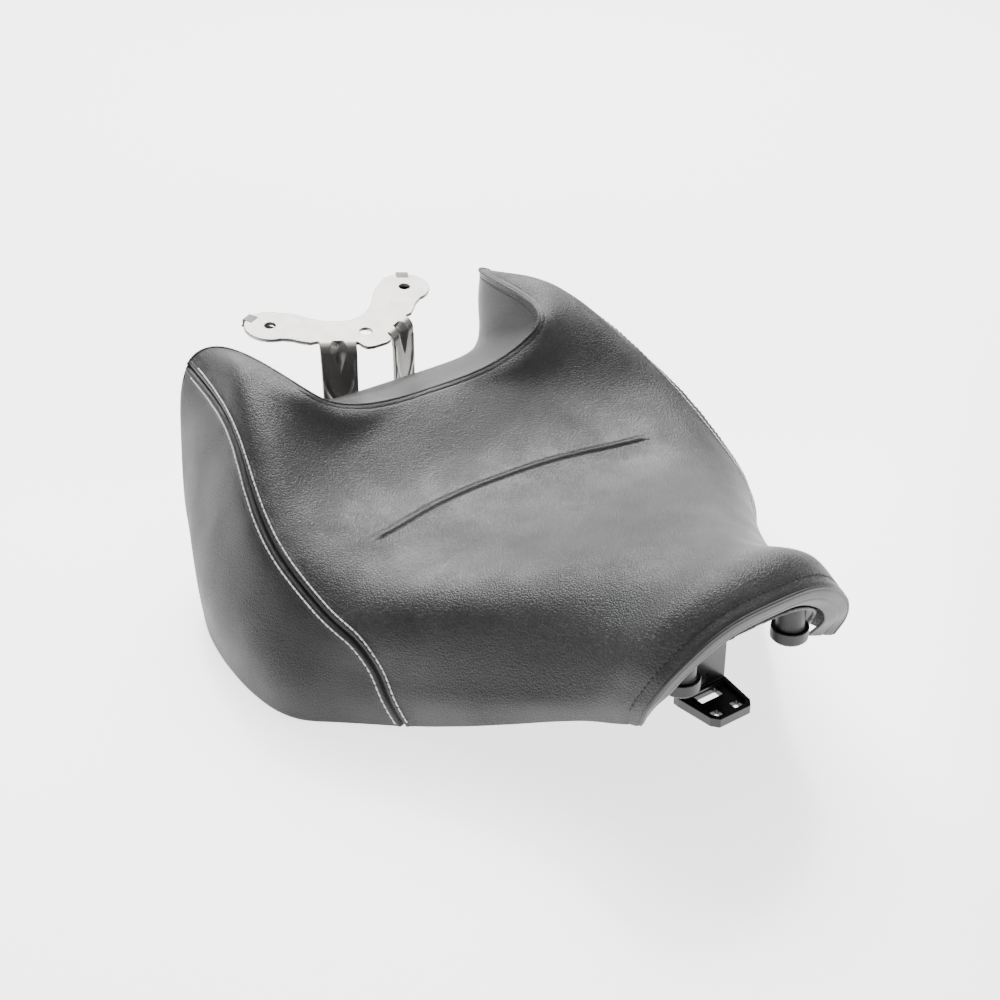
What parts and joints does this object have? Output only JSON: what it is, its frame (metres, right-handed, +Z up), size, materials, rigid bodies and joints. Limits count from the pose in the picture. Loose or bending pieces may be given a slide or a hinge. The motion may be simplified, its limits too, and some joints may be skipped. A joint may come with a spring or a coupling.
{
  "type": "motorcycle seat",
  "caption": "Solo motorcycle seat with a moulded foam bucket, narrow nose, swept-up rear horns, sewn covers, a front hook and a rear mounting bracket.",
  "frame": {"origin": "middle of the bounding box in plan, on the floor the seat rests on", "axes": "+Z up, nose towards -Y, rear bracket towards +Y, rider's left is +X"},
  "size_m": [0.438, 0.5238, 0.1634],
  "materials": {
    "seat_vinyl": "fine grained, satin",
    "side_vinyl": "fine grained, satin",
    "rear_vinyl": "smooth satin",
    "foam": "dull moulded foam",
    "pan_plastic": "moulded, fine texture",
    "hook_plastic": "glossy moulded",
    "buffer_rubber": "moulded rubber",
    "bracket_steel": "stamped, satin",
    "zinc": "zinc plated",
    "clip_black": "black coated spring steel"
  },
  "bodies": {
    "root": {"top_cover": "seat_vinyl", "side_cover_left": "side_vinyl", "side_cover_right": "side_vinyl", "rear_cover": "rear_vinyl", "nose_cover": "rear_vinyl", "foam_core": "foam", "base_pan": "pan_plastic", "front_tongue": "hook_plastic", "tongue_screw_left": "zinc", "tongue_screw_right": "zinc", "tongue_collar_left": "zinc", "tongue_collar_right": "zinc", "front_buffer_left": "buffer_rubber", "front_buffer_right": "buffer_rubber", "mid_buffer_left": "buffer_rubber", "mid_buffer_right": "buffer_rubber", "rear_buffer_left": "buffer_rubber", "rear_buffer_right": "buffer_rubber", "rear_bracket": "bracket_steel", "bracket_bolt_left": "zinc", "bracket_bolt_right": "zinc", "bracket_washer_left": "zinc", "bracket_washer_right": "zinc", "clip_nut_left": "clip_black", "clip_nut_right": "clip_black"}
  },
  "joints": []
}
